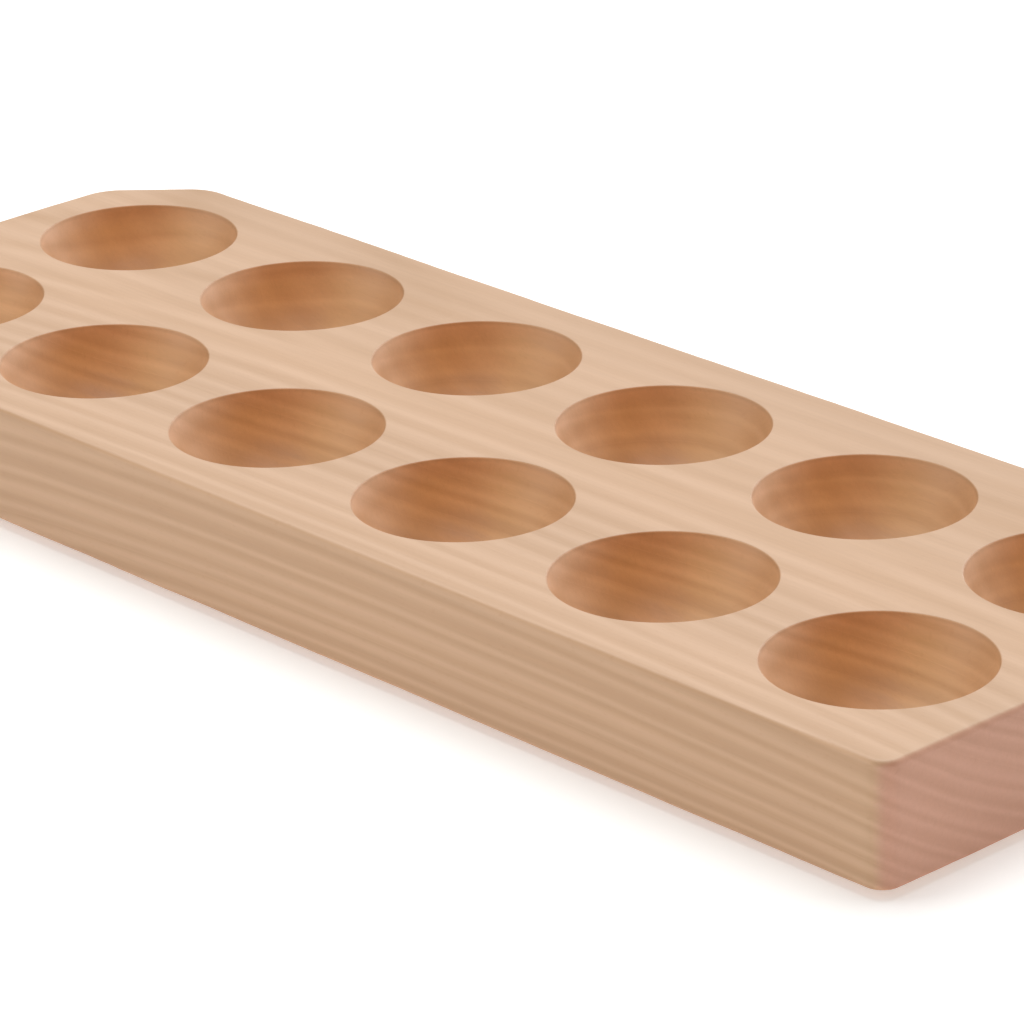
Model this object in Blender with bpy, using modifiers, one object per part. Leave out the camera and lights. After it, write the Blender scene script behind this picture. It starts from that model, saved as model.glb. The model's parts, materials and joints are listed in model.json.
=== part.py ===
"""Egg holder tray.

One solid board of pale hardwood with two rows of round cups cut into its top, standing on four
soft pads that sit in shallow pockets in its underside.

Metres, +Z up. The origin is on the table, under the middle of the board. +X runs along the rows,
from the end with the clipped corners to the square end, and -Y is the front long face.
"""

import math

import bmesh
import bpy
from mathutils import Matrix, Vector

OBJECT_NAME = "egg_holder_tray"

# Egg cups: ball-shaped recesses on a rectangular grid.
CUP_COLUMNS = 6
CUP_ROWS = 2
CUP_PITCH_X = 0.0507
CUP_PITCH_Y = 0.0500
CUP_MOUTH_DIAMETER = 0.0408
CUP_DEPTH = 0.0145
CUP_RIM_EASE = 0.0004
CUP_STEPS_AROUND = 32
CUP_STEPS_DEEP = 6

# Board: the wood left outside the grid of cups sets its length and width.
END_MARGIN = 0.00885
SIDE_MARGIN = 0.0096
BOARD_THICKNESS = 0.0230
EDGE_RADIUS = 0.0012
EDGE_STEPS = 3
SQUARE_CORNER_RADIUS = 0.0040
SQUARE_CORNER_STEPS = 5
CLIP_LEG = 0.0160
CLIP_BLEND_RADIUS = 0.0100
CLIP_BLEND_STEPS = 3

# Pads: turned discs, partly sunk into the underside.
PAD_DIAMETER = 0.0110
PAD_STAND_OFF = 0.0015
PAD_SUNK_DEPTH = 0.0013
PAD_EDGE_RADIUS = 0.0006
PAD_EDGE_STEPS = 3
PAD_STEPS_AROUND = 32
PAD_INSET_X = 0.0240
PAD_INSET_Y = 0.0160
SEAT_GAP = 0.0003

# How far a cutter runs past the face that it enters.
CUTTER_OVERRUN = 0.0010

WOOD_COLOUR = (0.74, 0.54, 0.37, 1.0)
WOOD_ROUGHNESS = 0.55
PAD_COLOUR = (0.62, 0.62, 0.60, 1.0)
PAD_ROUGHNESS = 0.45

MERGE_DISTANCE = 0.00001
SMOOTH_ANGLE = math.radians(30.0)

BOARD_LENGTH = (CUP_COLUMNS - 1) * CUP_PITCH_X + CUP_MOUTH_DIAMETER + 2.0 * END_MARGIN
BOARD_WIDTH = (CUP_ROWS - 1) * CUP_PITCH_Y + CUP_MOUTH_DIAMETER + 2.0 * SIDE_MARGIN
BOARD_BOTTOM = PAD_STAND_OFF
BOARD_TOP = BOARD_BOTTOM + BOARD_THICKNESS


def clear_scene():
    """Remove every object, so that the file holds this model only."""
    for item in list(bpy.data.objects):
        bpy.data.objects.remove(item, do_unlink=True)


def new_collection(name):
    """Return a new collection linked to the scene."""
    collection = bpy.data.collections.new(name)
    bpy.context.scene.collection.children.link(collection)
    return collection


def principled(name, colour, roughness, metallic=0.0):
    """Return a material with one Principled BSDF."""
    material = bpy.data.materials.new(name)
    material.use_nodes = True
    shader = material.node_tree.nodes["Principled BSDF"]
    shader.inputs["Base Color"].default_value = colour
    shader.inputs["Roughness"].default_value = roughness
    shader.inputs["Metallic"].default_value = metallic
    material.diffuse_color = colour
    return material


def arc(centre, radius, start, end, steps):
    """Points on an arc in the XZ plane, from one angle to another, both ends included."""
    points = []
    for step in range(steps + 1):
        angle = start + (end - start) * step / steps
        points.append((centre[0] + radius * math.cos(angle), centre[1] + radius * math.sin(angle)))
    return points


def turned_mesh(name, profile):
    """A mesh of edges along a profile of (radius, height), from the axis at the top to the axis below."""
    mesh = bpy.data.meshes.new(name)
    vertices = [(radius, 0.0, height) for radius, height in profile]
    edges = [(index, index + 1) for index in range(len(profile) - 1)]
    mesh.from_pydata(vertices, edges, [])
    return mesh


def turned_object(name, mesh, collection, steps):
    """An object that spins a profile mesh about its own Z axis."""
    item = bpy.data.objects.new(name, mesh)
    collection.objects.link(item)
    screw = item.modifiers.new("turn", "SCREW")
    screw.axis = "Z"
    screw.angle = 2.0 * math.pi
    screw.steps = steps
    screw.render_steps = steps
    screw.use_merge_vertices = True
    screw.merge_threshold = MERGE_DISTANCE
    screw.use_smooth_shade = True
    return item


def mark_as_cutter(item):
    """Show a cutter as wire, and keep it out of the model."""
    item.display_type = "WIRE"
    item.hide_render = True


def cup_centres():
    """The (x, y) centres of the cups, row by row."""
    centres = []
    for row in range(CUP_ROWS):
        y = (row - (CUP_ROWS - 1) / 2.0) * CUP_PITCH_Y
        for column in range(CUP_COLUMNS):
            x = (column - (CUP_COLUMNS - 1) / 2.0) * CUP_PITCH_X
            centres.append((x, y))
    return centres


def pad_centres():
    """The (x, y) centres of the pads, each with the name of its corner."""
    x = BOARD_LENGTH / 2.0 - PAD_INSET_X
    y = BOARD_WIDTH / 2.0 - PAD_INSET_Y
    return {
        "front_left": (-x, -y),
        "front_right": (x, -y),
        "back_left": (-x, y),
        "back_right": (x, y),
    }


def cup_profile():
    """Half section of a cup, with height 0 on the board's top face.

    The cup is part of a ball. Its wall meets the top face in a narrow sloping edge, and that slope
    is carried on upwards so that the cutter leaves the wood cleanly.
    """
    wall_radius = CUP_MOUTH_DIAMETER / 2.0 - CUP_RIM_EASE
    ball_radius = (wall_radius ** 2 + CUP_DEPTH ** 2) / (2.0 * CUP_DEPTH)
    ball_height = ball_radius - CUP_DEPTH
    rim_angle = -math.asin((ball_height + CUP_RIM_EASE) / ball_radius)
    bowl = arc((0.0, ball_height), ball_radius, rim_angle, -math.pi / 2.0, CUP_STEPS_DEEP)
    bowl[-1] = (0.0, -CUP_DEPTH)
    rim_radius, rim_height = bowl[0]
    slope = (CUP_MOUTH_DIAMETER / 2.0 - rim_radius) / -rim_height
    top_radius = CUP_MOUTH_DIAMETER / 2.0 + slope * CUTTER_OVERRUN
    return [(0.0, CUTTER_OVERRUN), (top_radius, CUTTER_OVERRUN)] + bowl


def pocket_profile():
    """Half section of a pad's pocket, with height 0 on the board's underside."""
    radius = PAD_DIAMETER / 2.0 + SEAT_GAP
    depth = PAD_SUNK_DEPTH + SEAT_GAP
    return [(0.0, depth), (radius, depth), (radius, -CUTTER_OVERRUN), (0.0, -CUTTER_OVERRUN)]


def pad_profile():
    """Half section of a pad, with height 0 on the table and both rims rounded."""
    height = PAD_STAND_OFF + PAD_SUNK_DEPTH
    reach = PAD_DIAMETER / 2.0 - PAD_EDGE_RADIUS
    upper = arc((reach, height - PAD_EDGE_RADIUS), PAD_EDGE_RADIUS, math.pi / 2.0, 0.0, PAD_EDGE_STEPS)
    lower = arc((reach, PAD_EDGE_RADIUS), PAD_EDGE_RADIUS, 0.0, -math.pi / 2.0, PAD_EDGE_STEPS)
    return [(0.0, height)] + upper + lower + [(0.0, 0.0)]


def upright_edges(mesh, near):
    """The mesh's upright edges whose (x, y) satisfies a test."""
    found = []
    for edge in mesh.edges:
        low, high = (vertex.co for vertex in edge.verts)
        if (low - high).xy.length < MERGE_DISTANCE and near(low.x, low.y):
            found.append(edge)
    return found


def board_mesh():
    """The plain board: a block with two clipped corners at -X and two eased corners at +X."""
    mesh = bmesh.new()
    size = Matrix.Diagonal(Vector((BOARD_LENGTH, BOARD_WIDTH, BOARD_THICKNESS, 1.0)))
    bmesh.ops.create_cube(mesh, size=1.0, matrix=size)
    clipped = upright_edges(mesh, lambda x, y: x < 0.0)
    bmesh.ops.bevel(mesh, geom=clipped, offset=CLIP_LEG, segments=1, profile=0.5, affect="EDGES")
    square = upright_edges(mesh, lambda x, y: x > 0.0)
    bmesh.ops.bevel(mesh, geom=square, offset=SQUARE_CORNER_RADIUS, segments=SQUARE_CORNER_STEPS,
                    profile=0.5, affect="EDGES")
    blended = upright_edges(mesh, lambda x, y: x < 0.0)
    blend_offset = CLIP_BLEND_RADIUS * math.tan(math.pi / 8.0)
    bmesh.ops.bevel(mesh, geom=blended, offset=blend_offset, segments=CLIP_BLEND_STEPS,
                    profile=0.5, affect="EDGES")
    result = bpy.data.meshes.new("tray_board")
    mesh.to_mesh(result)
    mesh.free()
    return result


def make_cutters(collection):
    """One turned cutter for every cup and for every pad's pocket."""
    cup = turned_mesh("cup_profile", cup_profile())
    for number, (x, y) in enumerate(cup_centres(), start=1):
        cutter = turned_object(f"cup_cutter_{number:02d}", cup, collection, CUP_STEPS_AROUND)
        cutter.location = (x, y, BOARD_TOP)
        mark_as_cutter(cutter)
    pocket = turned_mesh("pocket_profile", pocket_profile())
    for corner, (x, y) in pad_centres().items():
        cutter = turned_object(f"pocket_cutter_{corner}", pocket, collection, PAD_STEPS_AROUND)
        cutter.location = (x, y, BOARD_BOTTOM)
        mark_as_cutter(cutter)


def make_board(collection, cutters, material):
    """The wooden tray: the eased board with the cups and the pads' pockets cut out of it."""
    board = bpy.data.objects.new("tray_board", board_mesh())
    collection.objects.link(board)
    board.location = (0.0, 0.0, BOARD_BOTTOM + BOARD_THICKNESS / 2.0)
    board.data.materials.append(material)
    ease = board.modifiers.new("eased_edges", "BEVEL")
    ease.width = EDGE_RADIUS
    ease.segments = EDGE_STEPS
    ease.limit_method = "ANGLE"
    ease.angle_limit = math.radians(60.0)
    cut = board.modifiers.new("cups_and_pockets", "BOOLEAN")
    cut.operation = "DIFFERENCE"
    cut.operand_type = "COLLECTION"
    cut.collection = cutters
    cut.solver = "EXACT"
    board.data.shade_smooth()
    board.data.set_sharp_from_angle(angle=SMOOTH_ANGLE)
    return board


def make_pads(collection, board, material):
    """Four pads, one under each corner, parented to the board that they are stuck to."""
    mesh = turned_mesh("pad_profile", pad_profile())
    mesh.materials.append(material)
    for corner, (x, y) in pad_centres().items():
        pad = turned_object(f"pad_{corner}", mesh, collection, PAD_STEPS_AROUND)
        pad.parent = board
        pad.location = (x, y, -board.location.z)


def main():
    """Build the tray."""
    clear_scene()
    parts = new_collection(OBJECT_NAME)
    cutters = new_collection("cutters")
    make_cutters(cutters)
    wood = principled("pale_hardwood", WOOD_COLOUR, WOOD_ROUGHNESS)
    rubber = principled("soft_silicone", PAD_COLOUR, PAD_ROUGHNESS)
    board = make_board(parts, cutters, wood)
    make_pads(parts, board, rubber)


main()
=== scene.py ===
"""Looks for the egg holder tray: its finely eased board, its pads, the wood, the light and the camera.

Metres, +Z up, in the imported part's own frame. +X runs along the rows of cups, towards the square
end, and -Y is the front long face.
"""

import json
import math

import bmesh
import bpy
from mathutils import Matrix, Quaternion, Vector, noise
from mathutils.geometry import delaunay_2d_cdt


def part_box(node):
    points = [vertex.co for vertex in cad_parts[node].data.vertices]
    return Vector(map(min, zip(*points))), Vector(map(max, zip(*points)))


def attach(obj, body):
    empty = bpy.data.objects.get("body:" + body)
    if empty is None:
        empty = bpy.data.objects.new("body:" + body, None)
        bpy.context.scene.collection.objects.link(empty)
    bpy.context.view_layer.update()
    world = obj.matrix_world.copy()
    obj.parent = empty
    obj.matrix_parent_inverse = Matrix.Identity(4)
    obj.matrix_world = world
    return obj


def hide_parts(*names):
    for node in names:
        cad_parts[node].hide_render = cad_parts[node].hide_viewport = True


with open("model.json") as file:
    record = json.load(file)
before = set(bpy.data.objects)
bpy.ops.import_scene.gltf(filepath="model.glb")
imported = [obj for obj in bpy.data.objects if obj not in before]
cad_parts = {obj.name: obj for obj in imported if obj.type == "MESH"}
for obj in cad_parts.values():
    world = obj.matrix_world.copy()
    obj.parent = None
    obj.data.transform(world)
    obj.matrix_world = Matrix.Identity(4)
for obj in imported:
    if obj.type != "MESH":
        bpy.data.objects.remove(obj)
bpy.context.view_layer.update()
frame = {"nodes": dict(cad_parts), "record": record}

MM = 0.001
QUARTER_TURN = math.pi / 2.0
FULL_TURN = 2.0 * math.pi

# Board and cups, as the part's source has them.
CUP_WALL_RADIUS = 20.0 * MM
CUP_DEPTH = 14.5 * MM
CUP_RIM_RADIUS = 0.45 * MM
CORNER_RADIUS = 4.0 * MM
CLIP_LEG = 16.0 * MM
CLIP_BLEND_RADIUS = 10.0 * MM
EDGE_RADIUS = 1.2 * MM
POCKET_GAP = 0.3 * MM

# The board's edge is eased by hand, so its radius swells and ripples by a share of itself.
# EDGE_ROOM is more than the widest ease.
EDGE_SWELL = 0.22
EDGE_SWELLS_PER_METRE = 45.0
EDGE_RIPPLE = 0.10
RIPPLES_PER_SWELL = 6.0
EDGE_ROOM = 1.4 * EDGE_RADIUS

# How finely the board's surface is divided.
CUP_STEPS = 96
CUP_RINGS = 22
RIM_RINGS = 6
EDGE_RINGS = 6
SIDE_RINGS = 7
POCKET_STEPS = 48
POCKET_INNER_RING = 0.5
FACE_SPACING = 3.2 * MM
FACE_MARGIN = 0.4 * FACE_SPACING
FACE_ROW_HEIGHT = 0.866 * FACE_SPACING
CORNER_SPACING = 0.6 * MM
SAME_PLACE = 1e-7

# The pads' moulded edge and the shallow hollow under each of them.
PAD_STEPS = 72
PAD_EDGE_RADIUS = 0.7 * MM
PAD_EDGE_RINGS = 5
PAD_FOOT_RINGS = 6
PAD_INNER_RING = 0.5
PAD_TREAD_WIDTH = 1.6 * MM
PAD_HOLLOW_DEPTH = 0.35 * MM
PAD_HOLLOW_RINGS = 6
PAD_HOLLOW_REACH = 0.8

# Growth rings, in millimetres: they run along X round a pith that lies above the board.
PITH_Y = 38.0
PITH_RISE = 107.6
RING_START = 112.3
RINGS_PER_MM = 0.2813
RING_CROWDING = 0.0014
RING_SWELLS = ((0.287, 0.14, -0.63), (0.114, 1.34, 1.33))
RING_EDGE = 0.24
RING_SEED = -1.0
RING_CHANCE = 0.45
BOW_MIDDLE = 25.0
BOW_LEAN = 2.0
BOW_LENGTH = 100.0
BOW_RISE = 1.8
BOW_POWER = 2.4

# Faint close lines, in millimetres, along the back half of the board's top.
LINE_SPACING = 6.6
LINE_START = 10.0
LINE_TILT = 0.25
LINE_STRENGTH = 0.34
LINES_FROM_Y = (-30.0, 5.0)

# Noise as (its size along each axis in millimetres, detail, reach).
RING_WANDER = ((70.0, 16.0, 16.0), 1.0, 0.45)
RING_RIPPLE = ((26.0, 3.5, 3.5), 2.0, 0.14)
LINE_WANDER = ((90.0, 24.0, 24.0), 2.0, 2.2)
PATCHES = ((60.0, 9.0, 9.0), 2.0, 0.35)
FIBRES = ((38.0, 0.85, 0.85), 3.0, 0.055)
HAIRS = ((9.0, 0.24, 0.24), 2.0, 0.045)
CLOUDS = ((120.0, 30.0, 30.0), 2.0, 0.05)
POLISH = ((20.0, 2.0, 2.0), 3.0, 0.08)
DUST = ((1.6, 1.6, 1.6), 4.0, 0.10)
SKIN = ((0.35, 0.35, 0.35), 2.0, 0.5)

# Ray flecks: their size along the board, outwards and round the pith, and how they show.
FLECK_SIZE = (2.4, 4.5, 0.55)
FLECK_PITH_DISTANCE = 130.0
FLECK_SHARE = 0.30
FLECK_STRENGTH = 0.22

# Wood colours, all linear.
WOOD_COLOUR = (0.635, 0.438, 0.313, 1.0)
LATE_WOOD = (0.86, 0.82, 0.76, 1.0)
# The sides' tone: partly their own grain and partly painted shade and warm bounced light. It also darkens
# the eased top edge, where a highlight would otherwise show.
SIDE_GRAIN_AND_SHADE = (0.882, 0.811, 0.698, 1.0)
END_GRAIN = (0.868, 0.672, 0.658, 1.0)
# Painted shade along the underside's eased edge: more orange and a little darker where the wood faces down.
LOW_EDGE_SHADE = (1.02, 0.93, 0.85, 1.0)
FLECK = (0.84, 0.74, 0.64, 1.0)

# Curves as (position, height) stops: late wood through a year, and the colour made lighter or darker from
# front to back.
LATE_WOOD_CURVE = ((0.0, 0.82), (0.36, 0.0), (0.86, 1.0), (1.0, 0.82))
FRONT_TO_BACK_TONE_CURVE = ((0.05, 0.093), (0.27, 0.045), (0.50, 0.105), (0.73, 0.062), (0.95, 0.005))
FRONT_TO_BACK_TONE_LEVEL = 0.03

# Where the board's faces turn into each other, as (start, end) of that part of the surface normal.
END_FACE = (0.25, 0.85)
SIDE_FACE = (0.1, 0.7)
TOP_FACE = (0.1, 0.5)
LOW_FACE = (-0.05, -0.6)
ROUND_CORNER = (0.1, 0.5)
# A painted highlight: the rounded corners and the clipped faces, which turn halfway between an end and a
# side, are made lighter by this share to lift the shade that falls on them.
CORNER_PAINTED_LIGHT = 0.09

# How much late wood shows on average over its patches, on the top, and how much more elsewhere.
PATCH_LEVEL = 0.9
LATE_ON_TOP = 0.85
LATE_ON_SIDES = 0.6
LATE_ON_ENDS = 0.1
LATE_IN_CUPS = 0.15

# The wood's roughness, what late wood adds to it, and the pores' height in late wood.
WOOD_ROUGHNESS = 0.52
LATE_WOOD_ROUGHNESS = -0.06
LATE_WOOD_PORES = 0.3
PORE_STRENGTH = 0.35
PORE_DEPTH = 0.25 * MM

# Depths in a cup, from 0 at its rim to 1, between which one colour turns into the next.
CUP_STARTS = (0.002, 0.012)
RIM_TO_WALL = (0.03, 0.32)
WALL_TO_LOW = (0.38, 0.80)
LOW_TO_BOTTOM = (0.82, 1.0)

# Just inside the rim the wood is darkened by this share, painted shade under the rim, which fades out with
# depth.
RIM_SHADE = -0.12
RIM_SHADE_FADES = (0.07, 0.01)

# A cup's cut wall by direction from its middle, as (share of a turn from +X, colour at the rim,
# half way down, low). The colours are partly the cut wood's deeper tone and partly painted shade:
# they mostly darken with depth, and are darkest on the far walls, which face +X and -Y. The near
# walls, which hardly show, share one set of colours.
NEAR_RIM = (0.62, 0.35, 0.18, 1.0)
NEAR_WALL = (0.59, 0.33, 0.17, 1.0)
NEAR_LOW = (0.53, 0.28, 0.13, 1.0)
CUP_COLOURS_AND_SHADE = (
    (0.00, NEAR_RIM, NEAR_WALL, NEAR_LOW),
    (0.14, (0.54, 0.30, 0.15, 1.0), (0.53, 0.30, 0.16, 1.0), (0.54, 0.31, 0.17, 1.0)),
    (0.21, (0.58, 0.33, 0.17, 1.0), (0.59, 0.33, 0.16, 1.0), (0.56, 0.35, 0.20, 1.0)),
    (0.30, (0.80, 0.47, 0.25, 1.0), (0.76, 0.45, 0.22, 1.0), (0.56, 0.29, 0.11, 1.0)),
    (0.36, (0.73, 0.35, 0.16, 1.0), (0.74, 0.37, 0.17, 1.0), (0.48, 0.22, 0.07, 1.0)),
    (0.45, (0.69, 0.29, 0.10, 1.0), (0.62, 0.26, 0.07, 1.0), (0.48, 0.20, 0.05, 1.0)),
    (0.53, (0.83, 0.53, 0.34, 1.0), (0.64, 0.34, 0.17, 1.0), (0.41, 0.19, 0.07, 1.0)),
    (0.59, (0.77, 0.50, 0.35, 1.0), (0.62, 0.36, 0.21, 1.0), (0.50, 0.24, 0.10, 1.0)),
    (0.78, NEAR_RIM, NEAR_WALL, NEAR_LOW),
    (1.00, NEAR_RIM, NEAR_WALL, NEAR_LOW),
)
# The colour at a cup's bottom: partly the cut wood's tone, partly painted shade.
CUP_BOTTOM_AND_SHADE = (0.455, 0.230, 0.090, 1.0)

# The pads' silicone.
SILICONE_COLOUR = (0.66, 0.66, 0.64)
SILICONE_ROUGHNESS = 0.42
SILICONE_CLOUDINESS = 0.35
SILICONE_SCATTER = 2.0 * MM
SILICONE_IOR = 1.41
SKIN_STRENGTH = 0.15
SKIN_DEPTH = 0.05 * MM

# The camera looks at a target (x, y) on the board's top. Angles are in degrees, lengths in metres,
# and the lens and sensor in millimetres.
CAMERA_TARGET = (0.0363, -0.0233)
CAMERA_AZIMUTH = 47.565
CAMERA_ELEVATION = 22.26
CAMERA_ROLL = -1.509
CAMERA_DISTANCE = 0.93156
CAMERA_LENS = 185.6
CAMERA_SENSOR = 36.0
CAMERA_NEAR = 0.01

# The studio. Softboxes are (name, direction from the board, size, power, colour).
FLOOR_SIZE = 6.0
FLOOR_COLOUR = (0.86, 0.88, 0.91, 1.0)
FLOOR_ROUGHNESS = 0.9
FLOOR_GLOW = 0.32
WHITE = (1.0, 1.0, 1.0, 1.0)
WORLD_COLOUR = (1.0, 0.882, 0.74, 1.0)
WORLD_STRENGTH = 0.33
SOFTBOX_DISTANCE = 2.5
SOFTBOXES = (
    ("top_softbox", (-0.25, 0.2, 1.0), 2.3, 52.5, (0.99, 1.0, 0.98)),
    ("left_softbox", (-0.8, -0.8, 0.45), 1.7, 17.6, (0.97, 0.986, 1.0)),
    ("right_softbox", (0.8, 0.8, 0.45), 1.7, 9.5, (1.0, 0.98, 0.95)),
    ("back_softbox", (-0.1, 1.0, 0.35), 1.7, 16.7, (0.97, 1.0, 1.0)),
)

board_low, board_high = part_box("tray_board")


def cup_centres():
    """The centre of each cup's mouth, from the boxes that the record keeps clear for the eggs."""
    centres = []
    for opening in frame["record"]["physics"]["openings"]:
        if opening["name"].endswith("_lower"):
            low, high = opening["box_m"]
            centres.append(Vector(((low[0] + high[0]) / 2.0, (low[1] + high[1]) / 2.0)))
    return centres


def pad_nodes():
    """The names of the CAD pads."""
    return sorted(name for name in frame["nodes"] if name.startswith("pad_"))


def node_middle(name):
    """The middle of a CAD node's box, seen from above."""
    low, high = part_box(name)
    return Vector(((low.x + high.x) / 2.0, (low.y + high.y) / 2.0))


def arc(centre, radius, start, end, steps):
    """Points on an arc in the section plane, from one angle to another, both ends included."""
    points = []
    for step in range(steps + 1):
        angle = start + (end - start) * step / steps
        points.append((centre[0] + radius * math.cos(angle), centre[1] + radius * math.sin(angle)))
    return points


def rounded_outline(corners):
    """Points and outward normals round a polygon, counterclockwise, whose corners are (x, y, radius)."""
    outline = []
    count = len(corners)
    for index, (x, y, radius) in enumerate(corners):
        here = Vector((x, y))
        before = Vector(corners[index - 1][:2])
        after = Vector(corners[(index + 1) % count][:2])
        incoming = (here - before).normalized()
        outgoing = (after - here).normalized()
        turn = incoming.angle(outgoing)
        reach = radius * math.tan(turn / 2.0)
        inward = Vector((-incoming.y, incoming.x))
        centre = here - incoming * reach + inward * radius
        steps = max(2, round(radius * turn / CORNER_SPACING))
        for step in range(steps + 1):
            normal = Matrix.Rotation(turn * step / steps, 2) @ -inward
            outline.append((centre + normal * radius, normal))
        next_radius = corners[(index + 1) % count][2]
        next_after = Vector(corners[(index + 2) % count][:2])
        next_turn = outgoing.angle((next_after - after).normalized())
        start = here + outgoing * reach
        stop = after - outgoing * next_radius * math.tan(next_turn / 2.0)
        normal = Vector((outgoing.y, -outgoing.x))
        steps = max(1, round((stop - start).length / FACE_SPACING))
        for step in range(1, steps):
            outline.append((start.lerp(stop, step / steps), normal))
    return outline


def board_outline():
    """The board's plan: two clipped corners at -X and two eased corners at +X."""
    left, front = board_low.x, board_low.y
    right, back = board_high.x, board_high.y
    return rounded_outline([
        (right, front, CORNER_RADIUS),
        (right, back, CORNER_RADIUS),
        (left + CLIP_LEG, back, CLIP_BLEND_RADIUS),
        (left, back - CLIP_LEG, CLIP_BLEND_RADIUS),
        (left, front + CLIP_LEG, CLIP_BLEND_RADIUS),
        (left + CLIP_LEG, front, CLIP_BLEND_RADIUS),
    ])


def edge_ease(point, height):
    """The radius of the board's sanded edge at a place, which varies a little along the edge."""
    place = Vector((point.x, point.y, height)) * EDGE_SWELLS_PER_METRE
    swell = EDGE_SWELL * noise.noise(place)
    ripple = EDGE_RIPPLE * noise.noise(place * RIPPLES_PER_SWELL)
    return EDGE_RADIUS * (1.0 + swell + ripple)


def side_rings():
    """The board's side as (share of the ease drawn in, height, share of the ease up or down) rings."""
    rings = []
    top = board_high.z - EDGE_ROOM
    bottom = board_low.z + EDGE_ROOM
    for step in range(EDGE_RINGS + 1):
        angle = QUARTER_TURN * step / EDGE_RINGS
        rings.append((1.0 - math.sin(angle), board_high.z, -(1.0 - math.cos(angle))))
    for step in range(1, SIDE_RINGS):
        rings.append((0.0, top + (bottom - top) * step / SIDE_RINGS, 0.0))
    for step in range(EDGE_RINGS + 1):
        angle = QUARTER_TURN * step / EDGE_RINGS
        rings.append((1.0 - math.cos(angle), board_low.z, 1.0 - math.sin(angle)))
    return rings


def bridge(mesh, loops):
    """Join each closed loop of vertices to the next one with quads."""
    for upper, lower in zip(loops, loops[1:]):
        for index in range(len(upper)):
            following = (index + 1) % len(upper)
            mesh.faces.new((upper[index], lower[index], lower[following], upper[following]))


def turned_ring(mesh, centre, radius, height, steps):
    """A closed loop of vertices round an upright axis, clockwise from above."""
    loop = []
    for step in range(steps):
        angle = -FULL_TURN * step / steps
        x = centre.x + radius * math.cos(angle)
        y = centre.y + radius * math.sin(angle)
        loop.append(mesh.verts.new((x, y, height)))
    return loop


def close_ring(mesh, loop, centre, height):
    """Close a turned surface with a fan from its last loop to a vertex on the axis."""
    middle = mesh.verts.new((centre.x, centre.y, height))
    for index in range(len(loop)):
        mesh.faces.new((loop[index], middle, loop[(index + 1) % len(loop)]))
    return middle


def add_side(mesh):
    """Skin the board's side. Returns the loops that bound the top and the underside."""
    outline = board_outline()
    loops = []
    for inset, height, rise in side_rings():
        loop = []
        for point, normal in outline:
            ease = edge_ease(point, height)
            place = point - normal * inset * ease
            loop.append(mesh.verts.new((place.x, place.y, height + rise * ease)))
        loops.append(loop)
    bridge(mesh, loops)
    return loops[0], loops[-1]


def cup_profile():
    """Half section of a cup below the board's top: a rounded rim that runs into part of a ball."""
    ball_radius = (CUP_WALL_RADIUS ** 2 + CUP_DEPTH ** 2) / (2.0 * CUP_DEPTH)
    ball_height = ball_radius - CUP_DEPTH
    reach = ball_radius + CUP_RIM_RADIUS
    rim_radius = math.sqrt(reach ** 2 - (ball_height + CUP_RIM_RADIUS) ** 2)
    wall_angle = -math.asin((ball_height + CUP_RIM_RADIUS) / reach)
    rim_end = wall_angle + math.pi
    rim = arc((rim_radius, -CUP_RIM_RADIUS), CUP_RIM_RADIUS, QUARTER_TURN, rim_end, RIM_RINGS)
    wall = arc((0.0, ball_height), ball_radius, wall_angle, -QUARTER_TURN, CUP_RINGS)
    return rim + wall[1:-1]


def add_cup(mesh, centre, depth_layer):
    """Skin one cup and note how deep each of its vertices lies. Returns its loop on the board's top."""
    loops = []
    for radius, height in cup_profile():
        loop = turned_ring(mesh, centre, radius, board_high.z + height, CUP_STEPS)
        for vertex in loop:
            vertex[depth_layer] = -height / CUP_DEPTH
        loops.append(loop)
    bridge(mesh, loops)
    bottom = close_ring(mesh, loops[-1], centre, board_high.z - CUP_DEPTH)
    bottom[depth_layer] = 1.0
    return loops[0]


def pocket_radius(pad):
    """The radius of the pocket that a pad sits in."""
    low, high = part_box(pad)
    return (high.x - low.x) / 2.0 + POCKET_GAP


def add_pocket(mesh, pad):
    """Skin the pocket that a pad sits in. Returns its loop on the underside."""
    centre = node_middle(pad)
    radius = pocket_radius(pad)
    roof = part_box(pad)[1].z + POCKET_GAP
    rings = ((radius, board_low.z), (radius, roof), (radius * POCKET_INNER_RING, roof))
    loops = [turned_ring(mesh, centre, size, height, POCKET_STEPS)[::-1] for size, height in rings]
    bridge(mesh, loops)
    close_ring(mesh, loops[-1], centre, roof)
    return loops[0]


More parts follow.
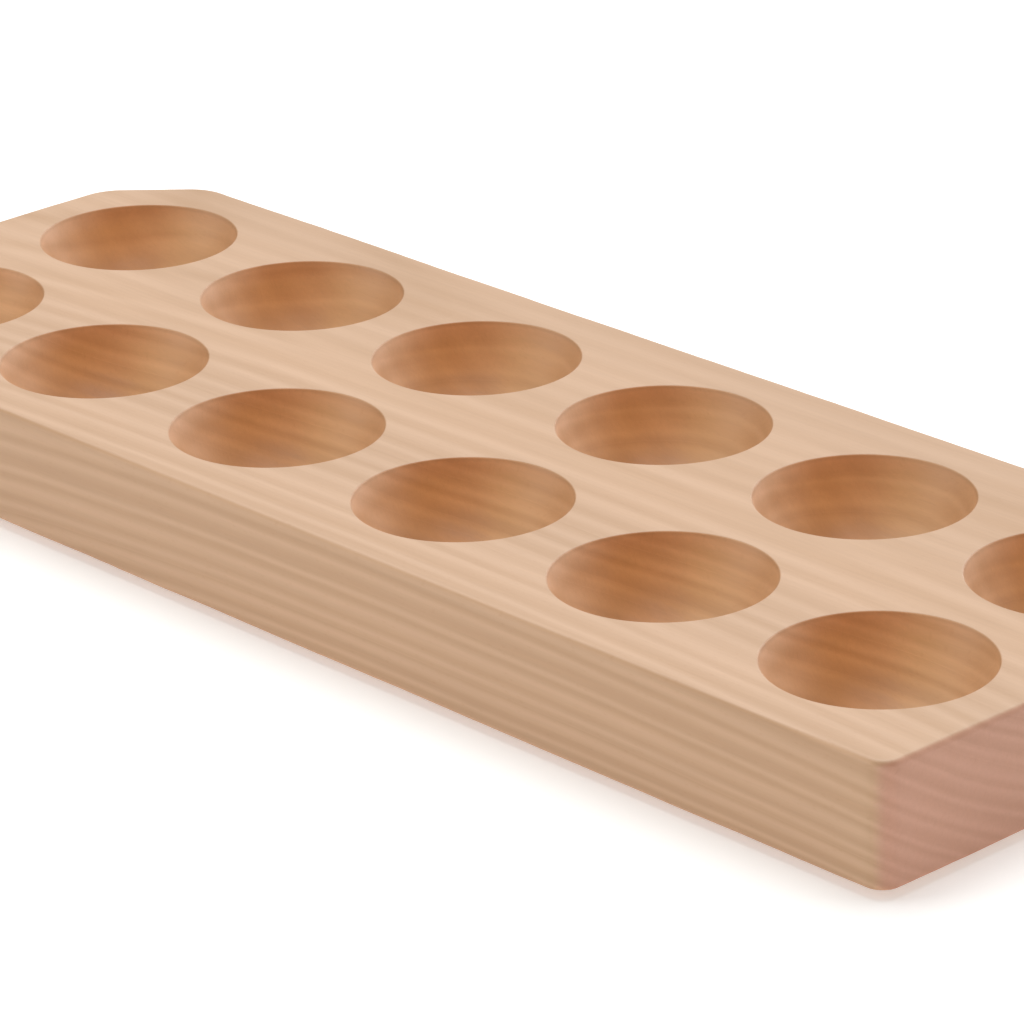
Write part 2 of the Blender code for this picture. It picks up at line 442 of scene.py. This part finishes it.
def fill_face(mesh, loops, holes, height, upwards):
    """Fill a flat face between its loops with even triangles. holes are (centre, radius) discs."""
    corners = []
    points = []
    edges = []
    for loop in loops:
        start = len(points)
        corners.extend(loop)
        points.extend(Vector(vertex.co[:2]) for vertex in loop)
        edges.extend((start + i, start + (i + 1) % len(loop)) for i in range(len(loop)))
    plan = [point for point, _ in board_outline()]
    rows = math.ceil((board_high.y - board_low.y) / FACE_ROW_HEIGHT)
    columns = math.ceil((board_high.x - board_low.x) / FACE_SPACING)
    for row in range(rows):
        y = board_low.y + (row + 0.5) * (board_high.y - board_low.y) / rows
        shift = 0.25 + 0.5 * (row % 2)
        for column in range(columns):
            x = board_low.x + (column + shift) * FACE_SPACING
            place = Vector((x, y))
            if within(place, plan, EDGE_ROOM + FACE_MARGIN) and outside(place, holes, FACE_MARGIN):
                points.append(place)
                corners.append(mesh.verts.new((x, y, height)))
    inside_the_edges = 1
    vertices, _, faces, origins, _, _ = delaunay_2d_cdt(points, edges, [], inside_the_edges, SAME_PLACE)
    for face in faces:
        middle = sum((vertices[index] for index in face), Vector((0.0, 0.0))) / len(face)
        if outside(middle, holes, 0.0):
            ring = [corners[origins[index][0]] for index in face]
            mesh.faces.new(ring if upwards else ring[::-1])


def hole(centre, radius, steps):
    """A turned ring as a (centre, radius) disc that touches the middle of each of its sides."""
    return centre, radius * math.cos(math.pi / steps)


def outside(place, holes, margin):
    """Whether a place lies outside every (centre, radius) hole, by at least a margin."""
    return all((place - centre).length >= radius + margin for centre, radius in holes)


def within(place, plan, margin):
    """Whether a place lies inside a convex counterclockwise plan, by at least a margin."""
    for index, here in enumerate(plan):
        along = plan[(index + 1) % len(plan)] - here
        to_place = place - here
        if along.x * to_place.y - along.y * to_place.x < margin * along.length:
            return False
    return True


def finished_object(name, mesh):
    """Turn mesh data under construction into a smooth object of the scene."""
    data = bpy.data.meshes.new(name)
    mesh.normal_update()
    mesh.to_mesh(data)
    mesh.free()
    data.shade_smooth()
    thing = bpy.data.objects.new(name, data)
    bpy.context.scene.collection.objects.link(thing)
    return thing


def make_board():
    """The wooden board as one closed mesh, with the attribute cup_depth from 0 at a rim to 1."""
    mesh = bmesh.new()
    depth_layer = mesh.verts.layers.float.new("cup_depth")
    top_loop, bottom_loop = add_side(mesh)
    cups = cup_centres()
    cup_loops = [add_cup(mesh, centre, depth_layer) for centre in cups]
    mouth_radius = cup_profile()[0][0]
    cup_holes = [hole(centre, mouth_radius, CUP_STEPS) for centre in cups]
    fill_face(mesh, [top_loop] + cup_loops, cup_holes, board_high.z, True)
    pads = pad_nodes()
    pocket_loops = [add_pocket(mesh, pad) for pad in pads]
    pocket_holes = [hole(node_middle(pad), pocket_radius(pad), POCKET_STEPS) for pad in pads]
    fill_face(mesh, [bottom_loop] + pocket_loops, pocket_holes, board_low.z, False)
    return finished_object("tray_board_eased", mesh)


def pad_profile(radius, height):
    """Half section of a pad from a ring on its top, down its side, to the hollow under it."""
    ease = PAD_EDGE_RADIUS
    tread = radius - ease - PAD_TREAD_WIDTH
    top = [(radius * PAD_INNER_RING, height)]
    edge = arc((radius - ease, height - ease), ease, QUARTER_TURN, 0.0, PAD_EDGE_RINGS)
    foot = arc((radius - ease, ease), ease, 0.0, -QUARTER_TURN, PAD_FOOT_RINGS)
    hollow = []
    for step in range(PAD_HOLLOW_RINGS):
        share = step / PAD_HOLLOW_RINGS
        rise = PAD_HOLLOW_DEPTH * (1.0 - math.cos(math.pi * share)) / 2.0
        hollow.append((tread * (1.0 - PAD_HOLLOW_REACH * share), rise))
    return top + edge + foot + hollow


def make_pad(node):
    """One soft bumper pad: an eased disc whose underside is a flat tread round a shallow hollow."""
    low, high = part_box(node)
    centre = node_middle(node)
    mesh = bmesh.new()
    loops = []
    for radius, rise in pad_profile((high.x - low.x) / 2.0, high.z - low.z):
        loops.append(turned_ring(mesh, centre, radius, low.z + rise, PAD_STEPS)[::-1])
    bridge(mesh, loops)
    close_ring(mesh, loops[-1], centre, low.z + PAD_HOLLOW_DEPTH)
    close_ring(mesh, loops[0][::-1], centre, high.z)
    return finished_object(node + "_bumper", mesh)


class Shader:
    """One node material under construction, with short ways to add and wire nodes."""

    def __init__(self, name):
        self.material = bpy.data.materials.new(name)
        self.material.use_nodes = True
        self.tree = self.material.node_tree
        self.surface = self.tree.nodes["Principled BSDF"]

    def wire(self, socket, value):
        """Feed a socket from another node's output, or set it to a plain value."""
        if isinstance(value, bpy.types.NodeSocket):
            self.tree.links.new(value, socket)
        else:
            socket.default_value = value

    def node(self, kind, inputs=(), **settings):
        """Add a node, change its settings and feed its inputs, given as (name or index, value)."""
        node = self.tree.nodes.new("ShaderNode" + kind)
        for name, value in settings.items():
            setattr(node, name, value)
        for key, value in inputs:
            self.wire(node.inputs[key], value)
        return node

    def math(self, operation, first, second=0.0):
        """The result of one calculation."""
        return self.node("Math", [(0, first), (1, second)], operation=operation).outputs[0]

    def total(self, first, *others):
        """The sum of several values."""
        for other in others:
            first = self.math("ADD", first, other)
        return first

    def product(self, first, *others):
        """Several values multiplied together."""
        for other in others:
            first = self.math("MULTIPLY", first, other)
        return first

    def millimetres(self):
        """The place on the object, in millimetres."""
        place = self.node("TexCoord").outputs["Object"]
        return self.node("VectorMath", [(0, place), ("Scale", 1.0 / MM)], operation="SCALE").outputs[0]

    def split(self, vector):
        """The X, Y and Z of a vector."""
        return self.node("SeparateXYZ", [(0, vector)]).outputs

    def join(self, x, y, z):
        """A vector from its X, Y and Z."""
        return self.node("CombineXYZ", [(0, x), (1, y), (2, z)]).outputs[0]

    def stretched(self, place, lengths):
        """A place divided by a length along each axis, so that noise gets that grain size."""
        scale = tuple(1.0 / length for length in lengths)
        return self.node("VectorMath", [(0, place), (1, scale)], operation="MULTIPLY").outputs[0]

    def noise(self, place, lengths, detail, reach):
        """Smooth noise from -reach to reach, with a grain size along each axis."""
        vector = self.stretched(place, lengths)
        inputs = [("Vector", vector), ("Scale", 1.0), ("Detail", detail)]
        value = self.node("TexNoise", inputs).outputs[0]
        return self.math("MULTIPLY", self.math("SUBTRACT", value, 0.5), 2.0 * reach)

    def specks(self, place, lengths, size):
        """Scattered grains: 1 in the middle of each cell of noise, 0 beyond a share of the cell."""
        vector = self.stretched(place, lengths)
        inputs = [("Vector", vector), ("Scale", 1.0)]
        distance = self.node("TexVoronoi", inputs).outputs["Distance"]
        return self.slope(distance, size, 0.0)

    def slope(self, value, start, end):
        """A smooth step from 0 at start to 1 at end."""
        inputs = [("Value", value), ("From Min", start), ("From Max", end)]
        return self.node("MapRange", inputs, interpolation_type="SMOOTHSTEP").outputs[0]

    def wheel(self, value, stops, curve="B_SPLINE"):
        """Colours blended between (position, colour) stops."""
        node = self.node("ValToRGB", [(0, value)])
        elements = node.color_ramp.elements
        node.color_ramp.interpolation = curve
        for spare in list(elements)[1:]:
            elements.remove(spare)
        for index, (position, colour) in enumerate(stops):
            stop = elements[0] if index == 0 else elements.new(position)
            stop.position = position
            stop.color = colour
        return node.outputs[0]

    def ramp(self, value, stops):
        """A curve through (position, height) stops."""
        greys = [(position, (height, height, height, 1.0)) for position, height in stops]
        return self.wheel(value, greys, "EASE")

    def blend(self, first, amount, second, way="MIX"):
        """The first colour changed by an amount from 0 to 1 towards its blend with the second."""
        inputs = [(0, amount), (6, first), (7, second)]
        return self.node("Mix", inputs, data_type="RGBA", blend_type=way).outputs[2]

    def tint(self, colour, amount, tone):
        """Multiply a colour by a tone, by an amount from 0 to 1."""
        return self.blend(colour, amount, tone, "MULTIPLY")

    def brighten(self, colour, change):
        """Make a colour brighter by a share of itself, or darker where the share is below 0."""
        factor = self.math("ADD", change, 1.0)
        inputs = [(0, colour), ("Scale", factor)]
        return self.node("VectorMath", inputs, operation="SCALE").outputs[0]

    def bump(self, height, strength, distance):
        """Wire a height to the surface's normal."""
        inputs = [("Height", height), ("Strength", strength), ("Distance", distance)]
        self.wire(self.surface.inputs["Normal"], self.node("Bump", inputs).outputs[0])


def ring_place(shader, place):
    """A place's x in mm, distance from the pith and turn round it, with the rings' bow and wander."""
    x, y, z = shader.split(place)
    below_top = shader.math("SUBTRACT", board_high.z / MM, z)
    middle = shader.math("ADD", shader.math("MULTIPLY", below_top, BOW_LEAN), BOW_MIDDLE)
    reach = shader.math("ABSOLUTE", shader.math("SUBTRACT", x, middle))
    curve = shader.math("POWER", shader.math("DIVIDE", reach, BOW_LENGTH), BOW_POWER)
    bow = shader.math("MULTIPLY", curve, -BOW_RISE)
    across = shader.math("SUBTRACT", y, PITH_Y)
    below_pith = shader.math("ADD", below_top, PITH_RISE)
    squares = shader.total(shader.math("POWER", across, 2.0), shader.math("POWER", below_pith, 2.0))
    wander = shader.noise(place, *RING_WANDER)
    ripple = shader.noise(place, *RING_RIPPLE)
    radius = shader.total(shader.math("SQRT", squares), bow, wander, ripple)
    turn = shader.math("ARCTAN2", across, below_pith)
    return x, radius, turn


def late_wood(shader, place, radius):
    """How dark the late wood is at a place. Each growth ring has a strength of its own."""
    beyond = shader.math("SUBTRACT", radius, RING_START)
    growth = shader.math("ADD", shader.math("MULTIPLY", beyond, RING_CROWDING), RINGS_PER_MM)
    years = shader.math("MULTIPLY", growth, beyond)
    for swell, pace, shift in RING_SWELLS:
        phase = shader.math("ADD", shader.math("MULTIPLY", beyond, pace), shift)
        years = shader.math("ADD", years, shader.math("MULTIPLY", shader.math("SINE", phase), swell))
    years = shader.math("SUBTRACT", years, RING_EDGE)
    lateness = shader.ramp(shader.math("FRACT", years), LATE_WOOD_CURVE)
    seed = shader.math("ADD", shader.math("FLOOR", years), RING_SEED)
    chance = shader.node("TexWhiteNoise", [("W", seed)], noise_dimensions="1D").outputs["Value"]
    strength = shader.math("ADD", shader.math("MULTIPLY", chance, RING_CHANCE), 1.0 - RING_CHANCE)
    patch = shader.math("ADD", shader.noise(place, *PATCHES), PATCH_LEVEL)
    return shader.product(lateness, strength, patch)


def ray_flecks(shader, x, radius, turn):
    """Short fine flecks that follow the rays, which run outwards from the pith."""
    around = shader.math("MULTIPLY", turn, FLECK_PITH_DISTANCE)
    flecks = shader.specks(shader.join(x, radius, around), FLECK_SIZE, FLECK_SHARE)
    return shader.math("MULTIPLY", flecks, FLECK_STRENGTH)


def back_lines(shader, place, facing):
    """Close faint grain lines along the board's back half, where the growth rings lie almost flat."""
    _, y, z = shader.split(place)
    wander = shader.noise(place, *LINE_WANDER)
    along = shader.total(y, shader.math("MULTIPLY", z, LINE_TILT), wander, -LINE_START)
    wave = shader.math("SINE", shader.math("MULTIPLY", along, FULL_TURN / LINE_SPACING))
    dark = shader.math("ADD", shader.math("MULTIPLY", wave, 0.5), 0.5)
    backwards = shader.slope(y, *LINES_FROM_Y)
    upwards = shader.slope(facing[2], *TOP_FACE)
    return shader.product(dark, backwards, upwards, LINE_STRENGTH)


def front_to_back_tone(shader, place):
    """How much lighter the colour is at a place, by where it lies between the board's front and back."""
    across = shader.math("DIVIDE", shader.split(place)[1], (board_high.y - board_low.y) / MM)
    paleness = shader.ramp(shader.math("ADD", across, 0.5), FRONT_TO_BACK_TONE_CURVE)
    return shader.math("SUBTRACT", paleness, FRONT_TO_BACK_TONE_LEVEL)


def cup_colour_and_shade(shader, facing, depth):
    """The colour of a cup's cut wall, partly the cut wood's tone and partly painted shade, which changes
    with the way the wall faces and with its depth.
    """
    angle = shader.math("ARCTAN2", facing[1], facing[0])
    turn = shader.math("ADD", shader.math("DIVIDE", angle, FULL_TURN), 0.5)
    turns, *colours = zip(*CUP_COLOURS_AND_SHADE)
    rim, wall, low = [shader.wheel(turn, list(zip(turns, ring))) for ring in colours]
    colour = shader.blend(rim, shader.slope(depth, *RIM_TO_WALL), wall)
    colour = shader.blend(colour, shader.slope(depth, *WALL_TO_LOW), low)
    return shader.blend(colour, shader.slope(depth, *LOW_TO_BOTTOM), CUP_BOTTOM_AND_SHADE)


def wood_material():
    """Pale close-grained hardwood: growth rings round a pith, fine fibres, ray flecks and end grain, with
    painted shade in the cups, on the sides and along the underside's edge, and a painted highlight on the
    corners.
    """
    shader = Shader("pale_hardwood_grain")
    place = shader.millimetres()
    x, radius, turn = ring_place(shader, place)
    late = late_wood(shader, place, radius)
    fibres = shader.noise(place, *FIBRES)
    hairs = shader.noise(place, *HAIRS)
    clouds = shader.noise(place, *CLOUDS)

    depth = shader.node("Attribute", attribute_name="cup_depth").outputs["Fac"]
    in_cup = shader.slope(depth, *CUP_STARTS)
    on_board = shader.math("SUBTRACT", 1.0, in_cup)
    facing = shader.split(shader.node("TexCoord").outputs["Normal"])
    lengthways = shader.math("ABSOLUTE", facing[0])
    sideways = shader.math("ABSOLUTE", facing[1])
    any_end = shader.slope(lengthways, *END_FACE)
    end = shader.math("MULTIPLY", any_end, on_board)
    side = shader.slope(sideways, *SIDE_FACE)
    side = shader.product(side, shader.math("SUBTRACT", 1.0, any_end), on_board)

    corner = shader.slope(shader.math("MULTIPLY", lengthways, sideways), *ROUND_CORNER)
    # Painted highlight on the rounded corners and the clipped faces.
    corner_light = shader.product(corner, on_board, CORNER_PAINTED_LIGHT)
    # Painted shade just under each cup's rim.
    rim_shade = shader.product(in_cup, shader.slope(depth, *RIM_SHADE_FADES), RIM_SHADE)
    late_shows = shader.total(
        shader.math("MULTIPLY", side, LATE_ON_SIDES),
        shader.math("MULTIPLY", end, LATE_ON_ENDS),
        shader.math("MULTIPLY", in_cup, LATE_IN_CUPS),
        LATE_ON_TOP,
    )
    lines = shader.math("ADD", shader.math("MULTIPLY", late, late_shows), back_lines(shader, place, facing))
    # Inside the cups the colour comes from the cup table, which is partly painted shade.
    colour = shader.blend(WOOD_COLOUR, in_cup, cup_colour_and_shade(shader, facing, depth))
    colour = shader.brighten(colour, shader.total(front_to_back_tone(shader, place), corner_light, rim_shade))
    colour = shader.tint(colour, lines, LATE_WOOD)
    colour = shader.brighten(colour, shader.total(fibres, hairs, clouds))
    colour = shader.tint(colour, ray_flecks(shader, x, radius, turn), FLECK)
    colour = shader.tint(colour, end, END_GRAIN)
    # The sides' tone, partly painted shade.
    colour = shader.tint(colour, side, SIDE_GRAIN_AND_SHADE)
    # Painted shade where the wood faces down.
    colour = shader.tint(colour, shader.slope(facing[2], *LOW_FACE), LOW_EDGE_SHADE)
    shader.wire(shader.surface.inputs["Base Color"], colour)

    gloss = shader.math("MULTIPLY", late, LATE_WOOD_ROUGHNESS)
    polish = shader.noise(place, *POLISH)
    shader.wire(shader.surface.inputs["Roughness"], shader.total(WOOD_ROUGHNESS, gloss, polish))
    pores = shader.total(shader.math("MULTIPLY", late, LATE_WOOD_PORES), fibres, hairs)
    shader.bump(pores, PORE_STRENGTH, PORE_DEPTH)
    return shader.material


def silicone_material():
    """Milky soft silicone with a dusty, slightly uneven skin."""
    shader = Shader("milky_silicone")
    place = shader.millimetres()
    dust = shader.noise(place, *DUST)
    skin = shader.noise(place, *SKIN)
    shader.wire(shader.surface.inputs["Base Color"], shader.brighten(SILICONE_COLOUR, dust))
    shader.wire(shader.surface.inputs["Roughness"], shader.math("ADD", dust, SILICONE_ROUGHNESS))
    shader.surface.inputs["Subsurface Weight"].default_value = SILICONE_CLOUDINESS
    shader.surface.inputs["Subsurface Scale"].default_value = SILICONE_SCATTER
    shader.surface.inputs["IOR"].default_value = SILICONE_IOR
    shader.bump(skin, SKIN_STRENGTH, SKIN_DEPTH)
    return shader.material


def make_camera():
    """A long lens that looks down on the near corner of the board."""
    target = Vector((CAMERA_TARGET[0], CAMERA_TARGET[1], board_high.z))
    azimuth = math.radians(CAMERA_AZIMUTH)
    elevation = math.radians(CAMERA_ELEVATION)
    level = math.cos(elevation)
    direction = Vector((math.sin(azimuth) * level, -math.cos(azimuth) * level, math.sin(elevation)))
    data = bpy.data.cameras.new("camera")
    data.lens = CAMERA_LENS
    data.sensor_width = CAMERA_SENSOR
    data.clip_start = CAMERA_NEAR
    camera = bpy.data.objects.new("camera", data)
    camera.location = target + direction * CAMERA_DISTANCE
    camera.rotation_mode = "QUATERNION"
    roll = Quaternion((0.0, 0.0, 1.0), math.radians(CAMERA_ROLL))
    camera.rotation_quaternion = (-direction).to_track_quat("-Z", "Y") @ roll
    bpy.context.scene.collection.objects.link(camera)
    bpy.context.scene.camera = camera


def make_floor():
    """A plain, slightly cool white floor. It glows softly, so that it stays pale beside the board."""
    bpy.ops.mesh.primitive_plane_add(size=FLOOR_SIZE)
    floor = bpy.context.object
    floor.name = "floor"
    shader = Shader("white_floor")
    shader.surface.inputs["Base Color"].default_value = FLOOR_COLOUR
    shader.surface.inputs["Roughness"].default_value = FLOOR_ROUGHNESS
    shader.surface.inputs["Specular IOR Level"].default_value = 0.0
    shader.surface.inputs["Emission Color"].default_value = WHITE
    shader.surface.inputs["Emission Strength"].default_value = FLOOR_GLOW
    floor.data.materials.append(shader.material)


def make_world():
    """Soft light from all round."""
    world = bpy.data.worlds.new("studio")
    world.use_nodes = True
    background = world.node_tree.nodes["Background"]
    background.inputs["Color"].default_value = WORLD_COLOUR
    background.inputs["Strength"].default_value = WORLD_STRENGTH
    bpy.context.scene.world = world


def make_softbox(name, direction, size, power, colour):
    """A square soft light in a direction from the board, facing it."""
    data = bpy.data.lights.new(name, "AREA")
    data.energy = power
    data.size = size
    data.color = colour
    light = bpy.data.objects.new(name, data)
    towards = Vector(direction).normalized()
    light.location = towards * SOFTBOX_DISTANCE
    light.rotation_euler = (-towards).to_track_quat("-Z", "Y").to_euler()
    bpy.context.scene.collection.objects.link(light)


make_camera()
make_floor()
make_world()
for softbox in SOFTBOXES:
    make_softbox(*softbox)
bpy.context.scene.view_settings.view_transform = "Standard"

board = make_board()
board.data.materials.append(wood_material())
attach(board, "root")
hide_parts("tray_board")

silicone = silicone_material()
for node in pad_nodes():
    pad = make_pad(node)
    pad.data.materials.append(silicone)
    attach(pad, "root")
    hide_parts(node)
